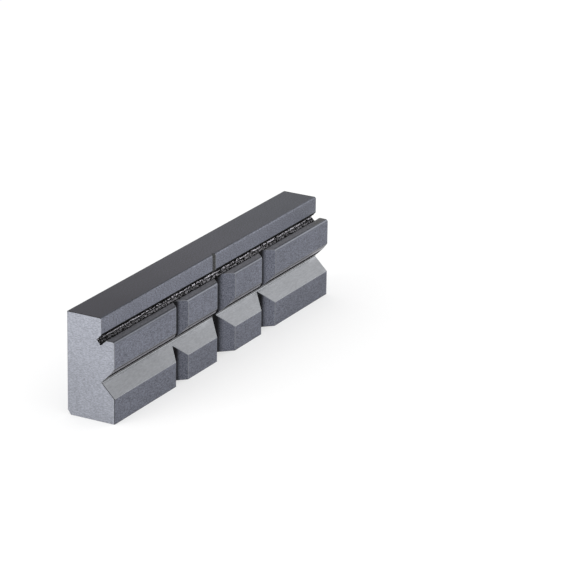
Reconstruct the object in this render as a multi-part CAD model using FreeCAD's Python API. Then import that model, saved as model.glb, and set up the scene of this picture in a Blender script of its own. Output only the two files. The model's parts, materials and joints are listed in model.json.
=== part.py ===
import FreeCAD, Part
import math
import os

# A prismatic vise jaw: one hardened and ground steel bar, with nothing fitted to it.
# X runs along the jaw, the grooved clamping face looks towards -Y, and Z is up.
# The origin is the middle of the box around the underside, on the seat that the jaw stands on.
# Lengths are in millimetres and angles in degrees.

# Bar
jaw_length = 160.0
jaw_thickness = 20.0
jaw_height = 40.0

# Step for thin work: the top of the clamping face is set back behind a ledge
step_depth = 5.5
step_height = 8.4
step_edge_radius = 1.0
top_edge_radius = 0.8

# Square relief slot, milled at 45 degrees into the inner corner of the step
relief_width = 2.7
relief_depth = 1.65

# V groove along the jaw for round bars that lie flat
groove_angle = 90.0
long_groove_width = 11.0
long_groove_height = 15.3
long_groove_root_radius = 0.4

# Steeper lead-in on the upper lip of the long groove
lead_rise = 0.6
lead_depth = 1.8

# V grooves across the jaw for round bars that stand up, one width for each, in order along X
upright_groove_widths = (8.8, 13.6, 10.8)
upright_groove_pitch = 32.5
upright_groove_root_radius = 0.4

# Clearance bevel at the foot of the back, which keeps the corner off the root of the seat
foot_bevel_depth = 1.3
foot_bevel_height = 1.9

# Two blind M10 holes in the back, drilled at tapping size
screw_spacing = 100.0
screw_height = 22.0
tapping_diameter = 8.5
tapping_depth = 12.0
tapping_mouth_diameter = 10.6
drill_point_angle = 118.0

# How far each cutter reaches past the face that it opens
cutter_overrun = 2.0

ledge_height = jaw_height - step_height
groove_slope = math.tan(math.radians(groove_angle / 2))


def behind(depth):
    """Y of a point at this depth behind the clamping face."""
    return depth - jaw_thickness / 2


def outline(corners):
    """Closed face through (point, radius) corners; a radius above zero rounds its corner with a tangent arc."""
    edges = []
    ends = []
    for index, (corner, radius) in enumerate(corners):
        to_last = (corners[index - 1][0] - corner).normalize()
        to_next = (corners[(index + 1) % len(corners)][0] - corner).normalize()
        half_angle = to_last.getAngle(to_next) / 2
        reach = radius / math.tan(half_angle)
        start = corner + to_last * reach
        end = corner + to_next * reach
        if radius > 0:
            inward = (to_last + to_next).normalize()
            crown = corner + inward * (radius / math.sin(half_angle) - radius)
            edges.append(Part.Arc(start, crown, end).toShape())
        ends.append((start, end))
    for index, (start, end) in enumerate(ends):
        edges.append(Part.LineSegment(ends[index - 1][1], start).toShape())
    return Part.Face(Part.Wire(Part.sortEdges(edges)[0]))


def end_section():
    """The jaw's end view: front lip, long groove, step, relief slot, top, back and foot bevel."""
    groove_depth = long_groove_width / 2 / groove_slope
    lead_height = long_groove_height + (groove_depth - lead_depth) * groove_slope
    lip_height = long_groove_height + long_groove_width / 2 + lead_rise
    mouth_leg = relief_width / math.sqrt(2)
    floor_shift = relief_depth / math.sqrt(2)
    floor_half = mouth_leg / 2
    floor_depth = step_depth + floor_shift
    floor_height = ledge_height - floor_shift
    corners = (
        (0, 0, 0),
        (0, long_groove_height - long_groove_width / 2, 0),
        (groove_depth, long_groove_height, long_groove_root_radius),
        (lead_depth, lead_height, 0),
        (0, lip_height, 0),
        (0, ledge_height, step_edge_radius),
        (step_depth - mouth_leg, ledge_height, 0),
        (floor_depth - floor_half, floor_height - floor_half, 0),
        (floor_depth + floor_half, floor_height + floor_half, 0),
        (step_depth, ledge_height + mouth_leg, 0),
        (step_depth, jaw_height, top_edge_radius),
        (jaw_thickness, jaw_height, 0),
        (jaw_thickness, foot_bevel_height, 0),
        (jaw_thickness - foot_bevel_depth, 0, 0),
    )
    start_x = -jaw_length / 2
    return outline([(FreeCAD.Vector(start_x, behind(depth), height), radius)
                    for depth, height, radius in corners])


def upright_groove(centre_x, width):
    """Cutter for one V groove that runs up the whole clamping face."""
    half_mouth = width / 2 + cutter_overrun * groove_slope
    root = FreeCAD.Vector(centre_x, behind(width / 2 / groove_slope), -cutter_overrun)
    left = FreeCAD.Vector(centre_x - half_mouth, behind(-cutter_overrun), -cutter_overrun)
    right = FreeCAD.Vector(centre_x + half_mouth, behind(-cutter_overrun), -cutter_overrun)
    section = outline([(left, 0), (root, upright_groove_root_radius), (right, 0)])
    return section.extrude(FreeCAD.Vector(0, 0, jaw_height + 2 * cutter_overrun))


def tapping_hole(centre_x):
    """Cutter for one blind hole in the back: countersunk mouth, straight wall and drill point."""
    back = jaw_thickness / 2
    drill_radius = tapping_diameter / 2
    mouth_radius = tapping_mouth_diameter / 2
    mouth_depth = mouth_radius - drill_radius
    point_depth = drill_radius / math.tan(math.radians(drill_point_angle / 2))
    half_section = (
        (0, -cutter_overrun),
        (mouth_radius + cutter_overrun, -cutter_overrun),
        (drill_radius, mouth_depth),
        (drill_radius, tapping_depth),
        (0, tapping_depth + point_depth),
    )
    points = [FreeCAD.Vector(centre_x + radius, back - depth, screw_height)
              for radius, depth in half_section]
    section = Part.Face(Part.makePolygon(points + points[:1]))
    axis_point = FreeCAD.Vector(centre_x, back, screw_height)
    return section.revolve(axis_point, FreeCAD.Vector(0, 1, 0), 360)


def prismatic_jaw():
    """The whole jaw: the end section drawn out along X, less the upright grooves and the screw holes."""
    jaw = end_section().extrude(FreeCAD.Vector(jaw_length, 0, 0))
    middle = (len(upright_groove_widths) - 1) / 2
    for index, width in enumerate(upright_groove_widths):
        jaw = jaw.cut(upright_groove((index - middle) * upright_groove_pitch, width))
    for side in (-1, 1):
        jaw = jaw.cut(tapping_hole(side * screw_spacing / 2))
    return jaw.removeSplitter().Solids[0]


os.makedirs("parts", exist_ok=True)
prismatic_jaw().exportStep("parts/prismatic_jaw.step")
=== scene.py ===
# %% [markdown]
# # A prismatic vise jaw in hardened and ground steel
#
# This is one bar of steel, 160 mm long, that a machine vise closes on round work. A V groove runs along it
# for bars that lie flat, and three V grooves of graded width run up it for bars that stand.
# The lesson makes it as a workshop does: a profiled bar is sawn off, cutters of the right shape take the
# grooves, the relief and the threads out of it, every outer edge is broken, and each surface keeps the
# finish of the tool that made it.
#
# The solid model comes first, because it fixes where everything is. It stays as it is, and what is made
# here takes its place in the picture.

# %% Load the solid model
import json
import math

import bmesh
import bpy
import numpy as np
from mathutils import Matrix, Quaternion, Vector


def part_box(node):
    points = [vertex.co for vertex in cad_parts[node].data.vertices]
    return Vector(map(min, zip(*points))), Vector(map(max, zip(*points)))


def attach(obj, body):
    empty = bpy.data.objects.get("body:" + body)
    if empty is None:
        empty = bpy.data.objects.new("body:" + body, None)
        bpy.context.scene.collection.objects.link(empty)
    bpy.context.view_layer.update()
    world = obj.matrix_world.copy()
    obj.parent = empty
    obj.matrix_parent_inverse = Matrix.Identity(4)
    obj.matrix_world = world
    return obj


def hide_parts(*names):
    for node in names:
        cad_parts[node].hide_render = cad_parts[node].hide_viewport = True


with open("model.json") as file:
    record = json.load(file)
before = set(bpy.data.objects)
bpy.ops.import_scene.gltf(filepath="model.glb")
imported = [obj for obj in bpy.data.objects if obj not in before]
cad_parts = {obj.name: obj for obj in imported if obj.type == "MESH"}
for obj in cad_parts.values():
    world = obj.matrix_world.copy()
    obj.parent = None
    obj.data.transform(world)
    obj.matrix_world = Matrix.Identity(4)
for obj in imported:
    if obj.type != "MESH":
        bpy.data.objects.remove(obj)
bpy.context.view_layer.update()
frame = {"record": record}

# %% [markdown]
# ## The camera comes first
#
# A picture can only be compared with a photograph from the same place. The photograph's perspective gives
# the place, the direction and the length of the lens, so these are plain values here. A long lens from
# more than a metre away keeps the jaw's long edges nearly parallel.
# Azimuth 0 looks along +Y and 90 along -X, so -61 looks along the jaw from the left and in front.

# %% Camera
camera_place = Vector((-1.01798, -0.59610, 0.45720))
camera_azimuth = math.radians(-61.197)
camera_elevation = math.radians(20.078)
camera_roll = math.radians(0.889)
lens_mm = 207.2
sensor_mm = 36.0

backwards = Vector((
    math.sin(camera_azimuth) * math.cos(camera_elevation),
    -math.cos(camera_azimuth) * math.cos(camera_elevation),
    math.sin(camera_elevation),
))
camera = bpy.data.objects.new("camera", bpy.data.cameras.new("camera"))
camera.data.lens = lens_mm
camera.data.sensor_width = sensor_mm
camera.data.clip_start = 0.05
camera.location = camera_place
camera.rotation_mode = "QUATERNION"
camera.rotation_quaternion = (-backwards).to_track_quat("-Z", "Y") @ Quaternion((0, 0, 1), camera_roll)
bpy.context.scene.collection.objects.link(camera)
bpy.context.scene.camera = camera
print("camera stands", round(camera_place.length, 3), "m from the middle of the jaw's underside")

# %% [markdown]
# ## Sizes
#
# The solid model already knows how large the jaw is and where its working faces are: its box and its
# mounts are read here, so that nothing drifts from it. The sizes that no mount holds are named below,
# in the same words as on a workshop drawing. Depth is counted from the clamping face, into the jaw.

# %% Sizes
mm = 0.001
low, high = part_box("prismatic_jaw")
mounts = {mount["name"]: mount for mount in frame["record"]["mounts"]}

jaw_thickness = high.y - low.y
jaw_height = high.z - low.z
ledge_height = mounts["work_ledge"]["pos_m"][2]
step_depth = mounts["step_face"]["pos_m"][1] - low.y
long_groove_height = mounts["long_groove"]["pos_m"][2]

long_groove_width = 11.0 * mm
lead_rise = 0.6 * mm
lead_depth = 1.8 * mm
step_edge_radius = 1.0 * mm
top_edge_radius = 0.8 * mm
groove_root_radius = 0.4 * mm
foot_bevel_depth = 1.3 * mm
foot_bevel_height = 1.9 * mm
print("jaw: %.0f x %.0f x %.0f mm" % tuple((high - low) / mm))

# %% [markdown]
# ## Finishes, by name
# Several are lit and shaded copies of one finish, whose tones carry painted light and shade.
#
# Each face of the real jaw shows how it was made. The bar's ends are sawn and then fine blasted, as its
# sides are. The top, the underside, the ledge and the long groove are ground last, because something bears
# on them. The relief is left as the milling cutter and the hardening furnace left it, the threads are dark
# and oily, and the edges and the ledge's round have been rubbed with a stone.
# The materials are filled in further down. They exist from here on, empty, so that every cutter can hand
# its finish to what it cuts.

# %% Empty materials, one for each finish
finish_names = (
    "sawn_end", "blasted_side", "blasted_step", "ground_top", "ground_ledge", "ground_flank", "dark_flank",
    "milled_lead", "milled_groove", "scaled_relief", "shaded_relief", "oiled_thread", "stoned_edge",
    "stoned_round",
)
finishes = {name: bpy.data.materials.new(name) for name in finish_names}

# A face names its finish by its place in that list.
(end, side, step, top, ledge, flank, dark, lead, upright, relief, relief_wall, thread, edge,
 edge_round) = range(len(finish_names))


def add_finishes(mesh):
    """Give a mesh all the finishes in the same order, so that a face's number always means the same one."""
    for name in finish_names:
        mesh.materials.append(finishes[name])


print("finishes:", len(finishes))

# %% [markdown]
# ## A shape carried along a path
#
# Nearly everything here is one outline carried along a line: the bar, the V cutters, the relief cutter
# and even the screw thread, whose outline is a circle that swells and shrinks.
# So one function makes them all from a stack of rings. The rings are one array, and the faces
# between them come from the same array of numbers shifted by one place, so no loop visits the points.

# %% Rings to a closed surface
def carried(name, rings, side_finish, end_finish):
    """Closed surface through a stack of rings, an array of (ring, point, xyz).

    A four-sided face joins each point to the next one on its ring and to the same two points of the next
    ring, and one flat face closes each end. If the faces come out pointing inwards they are turned round.
    side_finish is one finish for all the sides, or one for each point of a ring.
    """
    count, around = rings.shape[:2]
    index = np.arange(count * around).reshape(count, around)
    beside = np.roll(index, -1, axis=1)
    sides = np.stack([index[:-1], beside[:-1], beside[1:], index[1:]], axis=-1).reshape(-1, 4)
    mesh = bpy.data.meshes.new(name)
    mesh.from_pydata(rings.reshape(-1, 3), [], sides.tolist() + [index[0, ::-1].tolist(), index[-1].tolist()])
    add_finishes(mesh)
    numbers = np.concatenate([np.broadcast_to(side_finish, (count - 1, around)).ravel(), [end_finish] * 2])
    mesh.polygons.foreach_set("material_index", numbers.astype(np.int32))
    shell = bmesh.new()
    shell.from_mesh(mesh)
    if shell.calc_volume(signed=True) < 0:
        bmesh.ops.reverse_faces(shell, faces=shell.faces)
    shell.to_mesh(mesh)
    print(f"{name}: {len(mesh.vertices)} points, {shell.calc_volume() / mm ** 3:.0f} cubic mm")
    shell.free()
    piece = bpy.data.objects.new(name, mesh)
    bpy.context.scene.collection.objects.link(piece)
    return piece


# %% [markdown]
# ## An outline with rounded corners
#
# A drawing gives corners and radii. The function turns every corner into an arc at once: the arc's centre
# lies on the line that halves the corner, and the points are that centre plus a radius that swings from
# one side's normal to the other's. A corner with no radius keeps a single point.

# %% Rounded outlines
arc_steps = 16
tiny = 1e-12


def rounded(corners, radii):
    """Points of a closed outline, the corner that each one belongs to, and whether an arc follows it.

    The centre is the corner plus the unit bisector times radius / sin(half the corner's angle).
    """
    corners = np.asarray(corners, float)
    radii = np.asarray(radii, float)
    back = np.roll(corners, 1, axis=0) - corners
    on = np.roll(corners, -1, axis=0) - corners
    back /= np.linalg.norm(back, axis=1, keepdims=True)
    on /= np.linalg.norm(on, axis=1, keepdims=True)
    half = np.arccos(np.clip((back * on).sum(axis=1), -1, 1)) / 2
    middle = (back + on) / np.maximum(np.linalg.norm(back + on, axis=1, keepdims=True), tiny)
    centre = corners + middle * (radii / np.sin(half))[:, None]
    start = corners + back * (radii / np.tan(half))[:, None] - centre
    stop = corners + on * (radii / np.tan(half))[:, None] - centre
    swing = np.arctan2(start[:, 0] * stop[:, 1] - start[:, 1] * stop[:, 0], (start * stop).sum(axis=1))
    share = np.linspace(0, 1, arc_steps + 1)
    angle = swing[:, None] * share
    turned = np.stack([
        start[:, :1] * np.cos(angle) - start[:, 1:] * np.sin(angle),
        start[:, :1] * np.sin(angle) + start[:, 1:] * np.cos(angle),
    ], axis=-1)
    keep = (radii[:, None] > 0) | (share == 0)
    corner = np.broadcast_to(np.arange(len(corners))[:, None], keep.shape)
    in_arc = (radii[:, None] > 0) & (share < 1)
    return (centre[:, None] + turned)[keep], corner[keep], in_arc[keep]


# %% [markdown]
# ## The bar
#
# The end view of the jaw holds most of its shape: the long V groove with a steeper lead on its upper lip,
# the step for thin work, and the bevel at the foot of the back. Carrying that outline from one end to the
# other gives the whole bar in one go, with flat faces that stay perfectly flat.
# Each side of the outline also names its finish. A 90 degree V is as deep as half its width.

# %% The bar from its end view
groove_depth = long_groove_width / 2
lead_height = long_groove_height + groove_depth - lead_depth
lip_height = long_groove_height + groove_depth + lead_rise

end_view = (
    # depth, height, radius, finish of the rounded corner, finish of the side that follows it
    (0, 0, 0, edge, side),
    (0, long_groove_height - groove_depth, 0, edge, flank),
    (groove_depth, long_groove_height, groove_root_radius, flank, dark),
    (lead_depth, lead_height, 0, edge, lead),
    (0, lip_height, 0, edge, side),
    (0, ledge_height, step_edge_radius, edge_round, ledge),
    (step_depth, ledge_height, 0, edge, step),
    (step_depth, jaw_height, top_edge_radius, step, top),
    (jaw_thickness, jaw_height, 0, edge, side),
    (jaw_thickness, foot_bevel_height, 0, edge, side),
    (jaw_thickness - foot_bevel_depth, 0, 0, edge, top),
)
depth, height, radius, arc_finish, side_finish = (np.array(column) for column in zip(*end_view))
outline, corner, in_arc = rounded(np.stack([depth, height], axis=-1), radius)
finish_along = np.where(in_arc, arc_finish[corner], side_finish[corner])

bar_rings = np.empty((2, len(outline), 3))
bar_rings[..., 0] = np.array([high.x, low.x])[:, None]
bar_rings[..., 1] = low.y + outline[:, 0]
bar_rings[..., 2] = low.z + outline[:, 1]
jaw = carried("ground_jaw", bar_rings, finish_along, end)

# %% [markdown]
# ## The V cutters
#
# The upright grooves are 90 degree V cuts of three widths. Each cutter is a triangle with a small round
# nose, carried up through the whole height of the jaw and a little past it at both ends and in front,
# because a cutter that ends exactly on a face leaves a torn skin there.

# %% Cutters for the upright grooves
upright_groove_widths = {
    "upright_groove_small": 8.8 * mm,
    "upright_groove_large": 13.6 * mm,
    "upright_groove_medium": 10.8 * mm,
}
overrun = 2.0 * mm


def v_cutter(name, width):
    """V with a round nose, carried along Z: at 45 degrees it is as deep as half its width."""
    centre = mounts[name]["pos_m"][0]
    half_mouth = width / 2 + overrun
    corners = ((centre - half_mouth, low.y - overrun), (centre, low.y + width / 2),
               (centre + half_mouth, low.y - overrun))
    section, _, _ = rounded(corners, (0, groove_root_radius, 0))
    rings = np.empty((2, len(section), 3))
    rings[..., :2] = section
    rings[..., 2] = np.array([low.z - overrun, high.z + overrun])[:, None]
    return carried(name + "_cutter", rings, upright, upright)


cutters = [v_cutter(name, width) for name, width in upright_groove_widths.items()]

# %% [markdown]
# ## The relief cutter, rough on purpose
#
# A narrow square slot at 45 degrees clears the inner corner of the step. Nothing bears on it, so it is
# left coarse and scaled, and it reads as a dark granular line along the jaw.
# A bump painted by the material would look flat at the slot's ends, so here the grains are real.
# The cutter is a square bar whose long walls are pushed in and out by a band of random grain:
# random numbers on a grid, smoothed over a given distance, and scaled to a given height.

# %% Grain as an array
grain_seed = 11


def grain(shape, spacing, size, rng):
    """Random hills about size across on a grid of this shape, with mean 0 and spread 1.

    White noise is multiplied in frequency space by a bell curve whose width is one over the grain's size.
    """
    noise = np.fft.rfft2(rng.standard_normal(shape))
    along = np.fft.fftfreq(shape[0], spacing[0])[:, None]
    across = np.fft.rfftfreq(shape[1], spacing[1])[None, :]
    smooth = np.fft.irfft2(noise * np.exp(-2 * (along ** 2 + across ** 2) * size ** 2), s=shape)
    return (smooth - smooth.mean()) / smooth.std()


# %% The relief cutter
relief_width = 2.7 * mm
relief_depth = 1.65 * mm
relief_step = 0.2 * mm
relief_grain = 0.26 * mm
relief_roughness = 0.10 * mm

nose = np.array([[-relief_width / 2, -overrun], [relief_width / 2, -overrun],
                 [relief_width / 2, relief_depth], [-relief_width / 2, relief_depth]])
wall = overrun + relief_depth
side_lengths = (relief_width, wall, relief_width, wall)
side_counts = [round(length / relief_step) for length in side_lengths]
square = np.concatenate([
    here + (there - here) * np.linspace(0, 1, count, endpoint=False)[:, None]
    for here, there, count in zip(nose, np.roll(nose, -1, axis=0), side_counts)
])
outwards = np.concatenate([
    np.tile(direction, (count, 1))
    for direction, count in zip(((0, -1), (1, 0), (0, 1), (-1, 0)), side_counts)
])

stations = np.arange(low.x - overrun, high.x + overrun, relief_step)
rng = np.random.default_rng(grain_seed)
hills = grain((len(stations), len(square)), (relief_step, relief_step), relief_grain, rng) * relief_roughness
hills[:, :side_counts[0] + 1] = 0  # the side outside the slot cuts nothing and stays flat
across_in = square[None] + outwards[None] * hills[..., None]
slope = math.sqrt(0.5)  # sine and cosine of 45 degrees
relief_rings = np.empty((len(stations), len(square), 3))
relief_rings[..., 0] = stations[:, None]
relief_rings[..., 1] = low.y + step_depth + (across_in[..., 0] + across_in[..., 1]) * slope
relief_rings[..., 2] = ledge_height + (across_in[..., 0] - across_in[..., 1]) * slope
relief_along = np.repeat((relief, relief_wall, relief, relief_wall), side_counts)
cutters.append(carried("relief_cutter", relief_rings, relief_along, relief))

# %% [markdown]
# ## The screw threads in the back
#
# Two M10 screws hold the jaw from behind. The solid model has the drilled holes, and the thread is added
# here as geometry. In cylinder coordinates a thread is simple: the radius is a zigzag of the distance
# along the axis minus one pitch for each turn. Wrapping the grid round the axis closes it by itself,
# because after a full turn the zigzag has moved on by exactly one tooth.
# The countersink and the drill's point are the same radius, made larger or smaller near the ends.

# %% Thread cutters
thread_pitch = 1.5 * mm
thread_outer = 5.0 * mm
thread_run = 9.6 * mm
mouth_radius = 5.3 * mm
drill_point_angle = math.radians(118)
tooth_steepness = 3.0
point_flat = 0.02
thread_around = 64
rows_per_pitch = 10


def thread_cutter(mount):
    """Radius at (turn, depth): drill radius plus tooth height times a clipped zigzag of depth / pitch - turn.

    Clipping leaves the teeth a flat crest and a flat root. The radius is never less than the countersink's,
    which shrinks by as much as the depth grows, and the drill's point ends in a tiny flat.
    """
    drill_radius = mount["dims"]["r_mm"] * mm
    drill_depth = mount["dims"]["length_mm"] * mm + mouth_radius - drill_radius
    point_depth = drill_radius / math.tan(drill_point_angle / 2)
    depths = np.arange(-overrun, drill_depth, thread_pitch / rows_per_pitch)
    turn = np.linspace(0, 1, thread_around, endpoint=False)
    phase = (depths[:, None] / thread_pitch - turn) % 1
    tooth = np.clip(0.5 + tooth_steepness * (0.25 - np.abs(phase - 0.5)), 0, 1)
    fade = np.clip((thread_run - depths[:, None]) / thread_pitch, 0, 1)
    radius = drill_radius + (thread_outer - drill_radius) * tooth * fade
    radius = np.maximum(radius, mouth_radius - depths[:, None])
    point = np.array([[drill_depth, drill_radius],
                      [drill_depth + point_depth * (1 - point_flat), drill_radius * point_flat]])
    depths = np.concatenate([depths, point[:, 0]])
    radius = np.concatenate([radius, np.broadcast_to(point[:, 1:], (len(point), thread_around))])
    centre = mount["pos_m"]
    angle = 2 * np.pi * turn
    rings = np.empty(radius.shape + (3,))
    rings[..., 0] = centre[0] + radius * np.cos(angle)
    rings[..., 1] = high.y - depths[:, None]
    rings[..., 2] = centre[2] + radius * np.sin(angle)
    return carried(mount["name"] + "_cutter", rings, thread, thread)


cutters += [thread_cutter(mounts[name]) for name in ("screw_hole_left", "screw_hole_right")]

# %% [markdown]
# ## Cutting
#
# A boolean takes the cutters out of the bar. It also hands over their materials, so a face that the
# relief cutter made keeps the relief's finish, just as a tool leaves its own marks.
# The cutters are thrown away afterwards, like swarf.

# %% Cut the bar
def worked_in(piece):
    """Work the modifiers into the piece's own mesh, remove them, and return the mesh."""
    bpy.context.view_layer.update()
    mesh = bpy.data.meshes.new_from_object(piece.evaluated_get(bpy.context.evaluated_depsgraph_get()))
    piece.modifiers.clear()
    piece.data = mesh
    return mesh


for cutter in cutters:
    cut = jaw.modifiers.new(cutter.name, "BOOLEAN")
    cut.operation = "DIFFERENCE"
    cut.solver = "EXACT"
    cut.material_mode = "TRANSFER"
    cut.object = cutter
mesh = worked_in(jaw)
for cutter in cutters:
    bpy.data.objects.remove(cutter)
print("after cutting:", len(mesh.vertices), "points,", len(mesh.polygons), "faces,",
      [material.name for material in mesh.materials])

# %% [markdown]
# ## Broken edges
#
# No edge of a hardened jaw is left sharp: a stone takes about 0.15 mm off each. It matters in a picture
# too, because that narrow facet catches the light and draws the outline of every block.
# Only outward edges are broken, and not the ragged lips of the relief or the threads. Which edges those
# are is worked out for the whole mesh at once: every edge has two faces, and it points outwards where the
# cross product of their normals runs the same way as the edge does round its first face.

# %% Find and break the outward edges
break_width = 0.15 * mm
break_segments = 2
broken_angle = math.radians(18)
sharp_angle = math.radians(7)


def read(items, name, kind, width=1):
    """One attribute of all items of a mesh as a numpy array."""
    values = np.empty(len(items) * width, kind)
    items.foreach_get(name, values)
    return values.reshape(-1, width) if width > 1 else values


def outward_edges(mesh, angle, left_alone):
    """True for each edge whose two faces turn away from each other by more than angle.

    Edges beside a face with one of the finishes that are left alone never count.
    """
    points = read(mesh.vertices, "co", np.float32, 3)
    normals = read(mesh.polygons, "normal", np.float32, 3)
    finish = read(mesh.polygons, "material_index", np.int32)
    starts = read(mesh.polygons, "loop_start", np.int32)
    totals = read(mesh.polygons, "loop_total", np.int32)
    loop_face = np.repeat(np.arange(len(totals)), totals)
    loop_next = np.arange(len(mesh.loops)) + 1
    loop_next[starts + totals - 1] = starts
    loop_point = read(mesh.loops, "vertex_index", np.int32)
    first, second = np.argsort(read(mesh.loops, "edge_index", np.int32), kind="stable").reshape(-1, 2).T
    along = points[loop_point[loop_next[first]]] - points[loop_point[first]]
    one, other = loop_face[first], loop_face[second]
    turned = (normals[one] * normals[other]).sum(axis=1) < math.cos(angle)
    outward = (np.cross(normals[one], normals[other]) * along).sum(axis=1) > 0
    kept = np.isin(finish[one], left_alone) | np.isin(finish[other], left_alone)
    return turned & outward & ~kept


broken = outward_edges(mesh, broken_angle, (relief, relief_wall, thread))
mesh.attributes.new("bevel_weight_edge", "FLOAT", "EDGE").data.foreach_set("value", broken.astype(np.float32))
mesh.shade_smooth()
mesh.set_sharp_from_angle(angle=sharp_angle)
bevel = jaw.modifiers.new("broken edges", "BEVEL")
bevel.limit_method = "WEIGHT"
bevel.width = break_width
bevel.segments = break_segments
bevel.material = edge
bevel.harden_normals = True
bevel.use_clamp_overlap = False
mesh = worked_in(jaw)
print("edges broken:", int(broken.sum()), "- faces now", len(mesh.polygons))

# %% [markdown]
# ## Materials
#
# All the finishes are one steel, so they share one recipe: the tone wanders with a fine grain and with a
# slow cloud that hardening leaves, and the same grain dents the surface and changes its polish.
# Only the scale in the relief isn't metal. The furnace leaves an oxide there, and that has no metal shine.
# Coordinates are the object's own, in metres, so a noise scale of 1000 gives grains of about a millimetre.
# The noise runs from 0 to 1, but nearly all of it lies close to its middle, so the ramps are centred there.

# %% Node helpers
noise_detail = 2.0
noise_middle = 0.5
noise_reach = 0.2
first_colour, second_colour, mixed_colour = 6, 7, 2  # the colour sockets among all those of a Mix node


def add(tree, kind, **settings):
    """A new node with some of its settings."""
    node = tree.nodes.new("ShaderNode" + kind)
    for name, value in settings.items():
        setattr(node, name, value)
    return node


def sum_up(tree, operation, first, second):
    """Output of a Math node; each side may be an output or a plain number."""
    node = add(tree, "Math", operation=operation)
    for socket, value in zip(node.inputs, (first, second)):
        if hasattr(value, "is_linked"):
            tree.links.new(value, socket)
        else:
            socket.default_value = value
    return node.outputs[0]


def grain_of(tree, size, stretch):
    """Noise in hills of a given size on the object's own coordinates, drawn out by stretch on each axis."""
    place = add(tree, "TexCoord")
    turn = add(tree, "Mapping")
    hills = add(tree, "TexNoise")
    turn.inputs["Scale"].default_value = [1 / part for part in stretch]
    hills.inputs["Scale"].default_value = 1 / size
    hills.inputs["Detail"].default_value = noise_detail
    tree.links.new(place.outputs["Object"], turn.inputs["Vector"])
    tree.links.new(turn.outputs["Vector"], hills.inputs["Vector"])
    return hills.outputs["Fac"]


def ramp(tree, value, stops):
    """Colour Ramp through (position, colour) stops; added marks start halfway and are then moved."""
    steps = add(tree, "ValToRGB")
    marks = steps.color_ramp.elements
    while len(marks) < len(stops):
        marks.new(0.5)
    for mark, (position, colour) in zip(marks, stops):
        mark.position = position
        mark.color = (*colour, 1)
    tree.links.new(value, steps.inputs["Fac"])
    return steps.outputs["Color"]


def spread_round(tree, value, tone, spread, contrast):
    """Ramp from a darker to a lighter tone over the middle part of the noise.

    That part is noise_reach / contrast to either side of the middle, so more contrast makes it narrower.
    """
    dark_tone = [part * (1 - spread) for part in tone]
    light_tone = [part * (1 + spread) for part in tone]
    reach = noise_reach / contrast
    return ramp(tree, value, [(noise_middle - reach, dark_tone), (noise_middle + reach, light_tone)])


def times(tree, first, second):
    """Two colours multiplied."""
    node = add(tree, "Mix", data_type="RGBA", blend_type="MULTIPLY")
    node.inputs["Factor"].default_value = 1.0
    tree.links.new(first, node.inputs[first_colour])
    tree.links.new(second, node.inputs[second_colour])
    return node.outputs[mixed_colour]


# %% [markdown]
# ## The steel recipe
#
# Grain times cloud gives the tone. Where the grain is darker the steel is smoother too, but the roughness
# only changes a quarter as much as the tone does.

# %% The steel recipe
cloud_size = 14 * mm
cloud_spread = 0.05
polish_share = 0.25


def steel(name, tone, spread, roughness, size, height, stretch=(1, 1, 1), contrast=1.0, metal=1.0):
    """Fill in a finish whose tone wanders by a share of itself, the spread, over grains of a given size.

    The grains dent the surface by height, stretch draws them out, and contrast makes them crisper.
    Returns the node tree, the shader and the output with the tone, for the cells that shade it further.
    """
    finishes[name].use_nodes = True
    tree = finishes[name].node_tree
    tree.nodes.clear()
    output = add(tree, "OutputMaterial")
    shader = add(tree, "BsdfPrincipled")
    tree.links.new(shader.outputs["BSDF"], output.inputs["Surface"])
    hills = grain_of(tree, size, stretch)
    cloud = grain_of(tree, cloud_size, (1, 1, 1))
    fine = spread_round(tree, hills, tone, spread, contrast)
    slow = spread_round(tree, cloud, (1 - cloud_spread,) * 3, cloud_spread, 1.0)
    shade = times(tree, fine, slow)
    tree.links.new(shade, shader.inputs["Base Color"])
    polish = add(tree, "MapRange")
    polish.inputs["From Min"].default_value = noise_middle - noise_reach
    polish.inputs["From Max"].default_value = noise_middle + noise_reach
    polish.inputs["To Min"].default_value = roughness * (1 - spread * polish_share)
    polish.inputs["To Max"].default_value = roughness * (1 + spread * polish_share)
    tree.links.new(hills, polish.inputs["Value"])
    tree.links.new(polish.outputs["Result"], shader.inputs["Roughness"])
    shader.inputs["Metallic"].default_value = metal
    bump = add(tree, "Bump")
    bump.inputs["Distance"].default_value = height
    tree.links.new(hills, bump.inputs["Height"])
    tree.links.new(bump.outputs["Normal"], shader.inputs["Normal"])
    return tree, shader, shade
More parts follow.
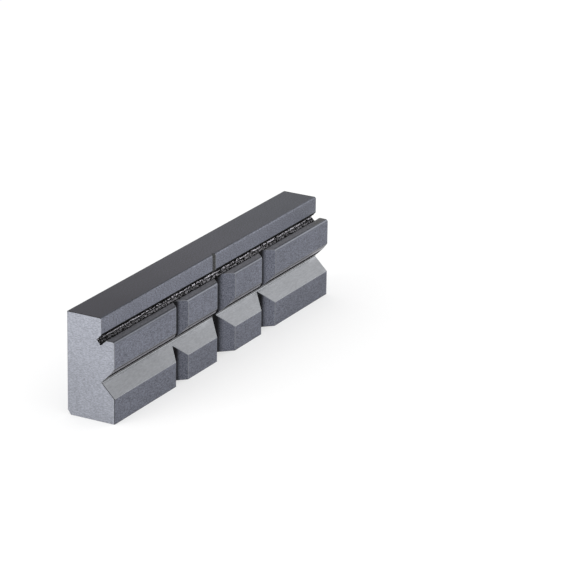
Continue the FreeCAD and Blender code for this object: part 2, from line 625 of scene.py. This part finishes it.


# %% [markdown]
# ## The finishes themselves
#
# Each row gives a finish its tone, spread, roughness, grain size and grain height. The blasted faces are
# rough and even, the ground ones a little smoother, and the lower flank of the long groove the smoothest.
# Stretch draws the grain out along the way the tool went. The relief is spotted with pale and black scale.
# The tones come from holding one render after another against the photograph.
# The tones also carry painted light and shade, face by face: the sawn end, the step face, the ledge, the
# lower flank and the lead are painted lighter than the blasted sides, and the top much darker.

# %% Finishes
made = {
    "end": steel("sawn_end", (0.306, 0.317, 0.355), 0.27, 0.55, 0.27 * mm, 0.006 * mm, stretch=(1, 3, 1)),
    "side": steel("blasted_side", (0.188, 0.197, 0.238), 0.46, 0.55, 0.30 * mm, 0.007 * mm,
                  stretch=(3, 1, 1)),
    "step": steel("blasted_step", (0.282, 0.295, 0.352), 0.54, 0.55, 0.30 * mm, 0.007 * mm,
                  stretch=(3, 1, 1)),
    "top": steel("ground_top", (0.0536, 0.0553, 0.0697), 0.60, 0.45, 0.40 * mm, 0.004 * mm,
                 stretch=(1, 1.6, 1), contrast=1.8),
    "ledge": steel("ground_ledge", (0.342, 0.337, 0.350), 0.30, 0.45, 0.45 * mm, 0.004 * mm,
                   stretch=(1, 1.6, 1)),
    "flank": steel("ground_flank", (0.283, 0.291, 0.309), 0.10, 0.22, 0.50 * mm, 0.001 * mm,
                   stretch=(4, 1, 1)),
    # The roof of the long groove gets a black band of painted shade further down.
    "roof": steel("dark_flank", (0.54, 0.53, 0.54), 0.40, 0.50, 0.80 * mm, 0.010 * mm),
    "lead": steel("milled_lead", (0.391, 0.387, 0.423), 0.50, 0.50, 0.50 * mm, 0.010 * mm, contrast=2.0),
    "milled": steel("milled_groove", (0.184, 0.193, 0.234), 0.48, 0.55, 0.45 * mm, 0.010 * mm),
    "relief": steel("scaled_relief", (0.687, 0.674, 0.723), 0.99, 0.80, 0.46 * mm, 0.050 * mm,
                    stretch=(1.6, 1, 1), contrast=16.0, metal=0.0),
    # The relief's upper wall is painted nearly black: painted shade.
    "wall": steel("shaded_relief", (0.02, 0.0196, 0.02), 0.90, 0.80, 0.42 * mm, 0.050 * mm,
                  contrast=8.0, metal=0.0),
    "rim": steel("stoned_edge", (0.24, 0.248, 0.27), 0.10, 0.45, 0.80 * mm, 0.002 * mm),
    "round": steel("stoned_round", (0.160, 0.170, 0.206), 0.10, 0.30, 0.80 * mm, 0.001 * mm),
}
steel("oiled_thread", (0.08, 0.08, 0.085), 0.20, 0.35, 0.90 * mm, 0.005 * mm)
print("finishes filled in:", len(made) + 1)

# %% [markdown]
# ## Painted light that drifts over the faces
#
# Each face is painted a little darker or lighter from one end to the other and from its foot to its top, as
# the light falls on it: painted light and shade. The rows for the ledge's round paint its highlight.
# The drift is slow, so it is a ramp over one coordinate: how far a point lies along a direction, which is the
# dot product of the two.
# Each row of the table names a finish, the direction, where the ramp starts, how far it runs and its stops.
# A stop says what is left of the tone, as a number, or as a colour where the hue shifts as well.
# The step face and the lower flank get lighter towards the dark corner beside them. Metal mirrors
# that corner, and in the photograph both faces stay even right up to it.

# %% Drift, by face
east, north, up = (1, 0, 0), (0, 1, 0), (0, 0, 1)
jaw_length = high.x - low.x
step_height = high.z - ledge_height
round_foot = ledge_height - step_edge_radius
groove_foot = long_groove_height - groove_depth


def along(name, direction):
    """How far a point of the object lies along a direction, in metres."""
    tree = made[name][0]
    reach = add(tree, "VectorMath", operation="DOT_PRODUCT")
    reach.inputs[1].default_value = direction
    tree.links.new(add(tree, "TexCoord").outputs["Object"], reach.inputs[0])
    return reach.outputs["Value"]


def apart(name, direction, middle, width):
    """Distance from a middle along a direction, to either side, as a share of a width."""
    tree = made[name][0]
    aside = sum_up(tree, "SUBTRACT", along(name, direction), middle)
    return sum_up(tree, "DIVIDE", sum_up(tree, "ABSOLUTE", aside, 0.0), width)


def shaded(name, share, tones):
    """Take a finish's tone down by a ramp of (share, what is left of the tone), a number or a colour."""
    tree, shader, shade = made[name]
    left = ramp(tree, share, [(place, np.broadcast_to(tone, 3)) for place, tone in tones])
    shade = times(tree, shade, left)
    tree.links.new(shade, shader.inputs["Base Color"])
    made[name] = (tree, shader, shade)
    return left


# Painted light and shade, one ramp per row.
drift = (
    ("end", up, low.z, jaw_height, [(0.45, 0.92), (0.90, 1.0)]),
    ("side", up, low.z, jaw_height, [(0.2, 0.92), (0.6, 1.0)]),
    ("side", east, low.x, jaw_length, [(0.4, 1.0), (1.0, 0.90)]),
    ("step", east, low.x, jaw_length, [(0.0, 1.0), (0.5, 0.93), (0.996, 0.73), (0.997, 0.47)]),
    ("step", up, ledge_height, step_height, [(0.26, 1.0), (0.36, 0.89), (0.57, 0.79), (0.75, 0.765)]),
    ("top", east, low.x, jaw_length,
     [(0.1, (0.540, 0.493, 0.556)), (0.5, (1.0, 0.956, 0.973)), (0.85, (0.981, 1.0, 1.0))]),
    ("ledge", east, low.x, jaw_length, [(0.0, 0.70), (0.4, 0.895), (0.65, 1.0)]),
    ("ledge", north, low.y + step_edge_radius, step_depth / 2, [(0.2, 0.78), (0.8, 1.0)]),
    ("round", east, low.x, jaw_length, [(0.46, 1.0), (0.54, 0.91), (0.67, 0.91), (0.74, 0.97), (0.9, 1.0)]),
    ("round", up, round_foot, step_edge_radius,
     [(0.12, 0.96), (0.4, (0.63, 0.62, 0.60)), (0.85, (0.65, 0.64, 0.62)), (0.97, (0.39, 0.38, 0.36))]),
    ("lead", up, lead_height, lip_height - lead_height,
     [(0.46, 1.0), (0.58, 0.25), (0.84, 0.25), (0.95, 0.8)]),
    ("relief", east, low.x, jaw_length,
     [(0.0, 0.32), (0.1, 0.75), (0.3, 1.0), (0.6, 0.95), (0.85, 0.90), (1.0, 0.70)]),
    ("flank", east, low.x, jaw_length, [(0.0, 0.82), (0.33, 0.91), (0.5, 0.99), (1.0, 1.0)]),
    ("flank", up, groove_foot, groove_depth,
     [(0.6, 0.415), (0.74, 0.43), (0.85, 0.485), (0.93, 0.58), (0.97, 0.90)]),
    ("milled", east, low.x, jaw_length, [(0.33, 0.80), (0.52, 0.93), (0.70, 1.0)]),
    ("milled", up, low.z, jaw_height, [(0.3, 0.95), (0.6, 1.0)]),
)
for name, direction, start, span, tones in drift:
    shaded(name, apart(name, direction, start, span), tones)
print("slow drifts:", len(drift))

# %% [markdown]
# ## Places that need a ramp of their own
#
# - A fine black line is painted at the foot of the step face, just above the relief: painted shade.
# - The round at the top of the step face is painted darker upwards, as painted shade, and lower down at the
#   near end than at the far one, so its band leans along the bar.
# - Painted shade makes the round on the ledge duller on the first block than on the others.
# - At its far end the ledge has no step face left to mirror and would mirror the sky instead. The photograph
#   is dark there, so the ledge is darkened past a slanting line that starts at the step face's end.

# %% Painted shade line, leaning round, first block and far end
round_lean = -0.045
mirror_angle = math.radians(61.2)
sky_share = 0.95  # where the slanting line lies on its ramp


def leaning(name, share, lean):
    """A share that grows by lean from the near end of the bar to the far one, so that its band leans."""
    tree = made[name][0]
    more = sum_up(tree, "MULTIPLY", apart(name, east, low.x, jaw_length), lean)
    return sum_up(tree, "ADD", share, more)


# Painted shade: a fine black line at the foot of the step face, then the round at its top painted darker
# upwards.
shaded("step", apart("step", up, ledge_height, step_height), [(0.256, 0.02), (0.270, 1.0)])
shaded("step", leaning("step", apart("step", up, ledge_height, step_height), round_lean),
       [(0.885, 1.0), (0.915, 0.93), (0.945, 0.76), (0.975, 0.29)])

# Painted shade takes the round down on the first block.
round_tree = made["round"][0]
first_block_end = mounts["upright_groove_small"]["pos_m"][0]
first_block = sum_up(round_tree, "LESS_THAN", along("round", east), first_block_end)
up_the_round = apart("round", up, round_foot, step_edge_radius)
shaded("round", sum_up(round_tree, "MULTIPLY", first_block, up_the_round),
       [(0.2, 1.0), (0.45, 0.85), (0.8, 0.74), (0.95, 0.62)])

# Painted shade on the ledge past the slanting line.
slant = (1, -math.tan(mirror_angle), 0)
sky_line = high.x + slant[1] * (low.y + step_depth)
shaded("ledge", apart("ledge", slant, sky_line - jaw_length, jaw_length / sky_share),
       [(0.925, 1.0), (0.943, 0.57), (0.955, 0.25)])

# %% [markdown]
# ## Painted shade in the roots of the grooves
#
# The flanks of the upright grooves are painted darker towards the root, as painted shade, and lose their
# metal shine there. How far a point is from the root is again one coordinate: its distance from
# the groove's middle as a share of the groove's width, 0 at the root and a half at the mouth.
# Above the ledge the widest upright groove is only a shallow notch. Less painted shade reaches its root, and
# the notch is darker and browner.
# On the roof of the long groove the painted shade is a black band that leaves the root itself and the lip end
# lighter.
# The relief is painted in bands of shade and light from its foot up: dark, a middle tone, a dark strip, and a
# light strip at the top. The bands sink a little towards the far end.

# %% Dark roots and corners
low_shine = 0.1
notch_share = 0.215
relief_lean = 0.07


def paint_shade(name, share, tones, shine):
    """Painted shade: darken a finish as shaded does; the darkened part loses its metal shine and keeps only
    this one.
    """
    tree, shader, _ = made[name]
    tree.links.new(shaded(name, share, tones), shader.inputs["Metallic"])
    shader.inputs["Specular IOR Level"].default_value = shine


# Painted shade: a black band on the roof of the long groove.
paint_shade("roof", apart("roof", up, long_groove_height, long_groove_width),
      [(0.11, 1.0), (0.145, 0.004), (0.30, 0.004), (0.335, 0.55)], 0.0)

# Painted shade towards the roots of the upright grooves, and a darker, browner notch.
milled_tree = made["milled"][0]
share = 1.0
for name, width in upright_groove_widths.items():
    from_root = apart("milled", east, mounts[name]["pos_m"][0], width)
    share = sum_up(milled_tree, "MINIMUM", share, from_root)
above = sum_up(milled_tree, "GREATER_THAN", along("milled", up), ledge_height)
share = sum_up(milled_tree, "MAXIMUM", share, sum_up(milled_tree, "MULTIPLY", above, notch_share))
paint_shade("milled", share, [(0.13, 0.04), (0.165, 0.24), (0.205, 0.68), (0.26, 1.0)], low_shine)
shaded("milled", above, [(0.0, 1.0), (1.0, (0.74, 0.71, 0.59))])

# Painted shade and light in bands across the relief.
relief_foot = (low.y + step_depth + ledge_height) * slope - relief_width / 2
across_relief = apart("relief", (0, slope, slope), relief_foot, relief_width)
shaded("relief", leaning("relief", across_relief, relief_lean),
       [(0.30, 0.03), (0.36, 0.24), (0.50, 0.40), (0.66, 0.26), (0.73, 0.07), (0.79, 0.10), (0.86, 0.90),
        (0.92, 1.0)])
for name in ("relief", "wall"):
    made[name][1].inputs["Specular IOR Level"].default_value = low_shine
print("oily finishes: roof, milled, relief, wall")

# %% [markdown]
# ## Dark lines painted along the rims
#
# A fine dark line is painted along the broken edges: round the top, up the far end and, low down
# in front, up both ends and along the foot. Where an end and the foot meet, the corner is left out.
# The top has the same painted line on itself, along its two ends and its back edge.

# %% Dark rims
rim_reach = 0.3 * mm
end_line = (0.9925, 0.9935)   # shares of half the length, 0.60 and 0.52 mm from each end
back_line = (0.9805, 0.9825)  # shares of the thickness, 0.39 and 0.35 mm from the back
rim_tree = made["rim"][0]
from_middle = sum_up(rim_tree, "ABSOLUTE", along("rim", east), 0.0)
at_end = sum_up(rim_tree, "GREATER_THAN", from_middle, high.x - rim_reach)
at_far_end = sum_up(rim_tree, "GREATER_THAN", along("rim", east), high.x - rim_reach)
at_foot = sum_up(rim_tree, "LESS_THAN", along("rim", up), low.z + rim_reach)
at_top = sum_up(rim_tree, "GREATER_THAN", along("rim", up), high.z - rim_reach)
lower = sum_up(rim_tree, "LESS_THAN", along("rim", up), long_groove_height)
front = sum_up(rim_tree, "LESS_THAN", along("rim", north), 0.0)
only_one = sum_up(rim_tree, "ABSOLUTE", sum_up(rim_tree, "SUBTRACT", at_end, at_foot), 0.0)
lower_rims = sum_up(rim_tree, "MULTIPLY", only_one, sum_up(rim_tree, "MULTIPLY", lower, front))
rims = sum_up(rim_tree, "MAXIMUM", lower_rims, sum_up(rim_tree, "MAXIMUM", at_top, at_far_end))
# A painted dark line along the rims, and the same on the top just below.
shaded("rim", rims, [(0.0, 1.0), (1.0, 0.05)])
shaded("top", apart("top", east, 0.0, jaw_length / 2), zip(end_line, (1.0, 0.25)))
shaded("top", apart("top", north, low.y, jaw_thickness), zip(back_line, (1.0, 0.35)))
print("rims within", rim_reach / mm, "mm of an edge are dark")

# %% [markdown]
# ## Floor, sky and lamps
#
# A plain pale floor and a white sky make the pale ground of a catalogue picture. The camera and the
# mirror-like rays see the sky as plain white, and the floor keeps the soft shadow of the jaw.
# Steel shows its surroundings more than its own colour, so two soft boxes do the drawing: one low on the
# left for the sawn end, and one on the right, in front, that the sloping flank of the long groove mirrors.

# %% Floor
floor_size = 6.0
floor_tone = (0.94, 0.94, 0.94)
floor_glow = 0.5
floor_half = floor_size / 2
floor_mesh = bpy.data.meshes.new("floor")
floor_mesh.from_pydata([(-floor_half, -floor_half, low.z), (floor_half, -floor_half, low.z),
                        (floor_half, floor_half, low.z), (-floor_half, floor_half, low.z)],
                       [], [(0, 1, 2, 3)])
floor = bpy.data.objects.new("floor", floor_mesh)
bpy.context.scene.collection.objects.link(floor)


def seen_rays(tree):
    """1 for rays that a viewer sees directly, mirrored or through glass, and 0 for the light on things."""
    path = add(tree, "LightPath")
    seen = sum_up(tree, "MAXIMUM", path.outputs["Is Camera Ray"], path.outputs["Is Glossy Ray"])
    return sum_up(tree, "MAXIMUM", seen, path.outputs["Is Transmission Ray"])


def lit_and_seen(tree, output, share, lit, seen):
    """The output shows a mix of two shaders: share of the seen one, and the lit one for the rest."""
    mix = add(tree, "MixShader")
    tree.links.new(share, mix.inputs["Fac"])
    tree.links.new(lit.outputs[0], mix.inputs[1])
    tree.links.new(seen.outputs[0], mix.inputs[2])
    tree.links.new(mix.outputs[0], add(tree, output).inputs["Surface"])


paper = bpy.data.materials.new("paper")
paper.use_nodes = True
paper.node_tree.nodes.clear()
paper_lit = add(paper.node_tree, "BsdfDiffuse")
paper_lit.inputs["Color"].default_value = (*floor_tone, 1)
paper_glow = add(paper.node_tree, "Emission")
glow_share = sum_up(paper.node_tree, "MULTIPLY", seen_rays(paper.node_tree), floor_glow)
lit_and_seen(paper.node_tree, "OutputMaterial", glow_share, paper_lit, paper_glow)
floor_mesh.materials.append(paper)
print("floor:", floor_size, "m square")

# %% [markdown]
# ## Sky and soft boxes
#
# The sky lights the jaw evenly from all sides, and the soft boxes add the direction.

# %% Sky and soft boxes
sky_light = 1.0
white = (1, 1, 1, 1)
sky = bpy.data.worlds.new("sky")
sky.use_nodes = True
sky.node_tree.nodes.clear()
sky_lit = add(sky.node_tree, "Background")
sky_seen = add(sky.node_tree, "Background")
sky_lit.inputs["Strength"].default_value = sky_light
sky_lit.inputs["Color"].default_value = white
sky_seen.inputs["Color"].default_value = white
lit_and_seen(sky.node_tree, "OutputWorld", seen_rays(sky.node_tree), sky_lit, sky_seen)
bpy.context.scene.world = sky


def soft_box(name, direction, distance, size, brightness):
    """A square lamp that faces the jaw's middle; its power is brightness x pi x its area."""
    lamp = bpy.data.lights.new(name, "AREA")
    lamp.size = size
    lamp.energy = brightness * math.pi * size ** 2
    stand = bpy.data.objects.new(name, lamp)
    towards = Vector(direction).normalized()
    stand.location = (low + high) / 2 + towards * distance
    stand.rotation_mode = "QUATERNION"
    stand.rotation_quaternion = (-towards).to_track_quat("-Z", "Y")
    bpy.context.scene.collection.objects.link(stand)
    print(f"{name}: {lamp.energy:.2f} W")


soft_box("soft box left", (-0.90, 0.35, 0.25), distance=0.8, size=0.5, brightness=4.6)
soft_box("soft box right", (0.82, -0.40, 0.40), distance=0.9, size=0.5, brightness=2.0)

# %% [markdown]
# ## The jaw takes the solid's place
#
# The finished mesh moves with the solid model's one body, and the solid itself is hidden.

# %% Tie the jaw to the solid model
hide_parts("prismatic_jaw")
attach(jaw, "root")

# %% [markdown]
# ## Last setting
#
# The picture uses the Standard view transform.

# %% Finish
bpy.context.scene.view_settings.view_transform = "Standard"
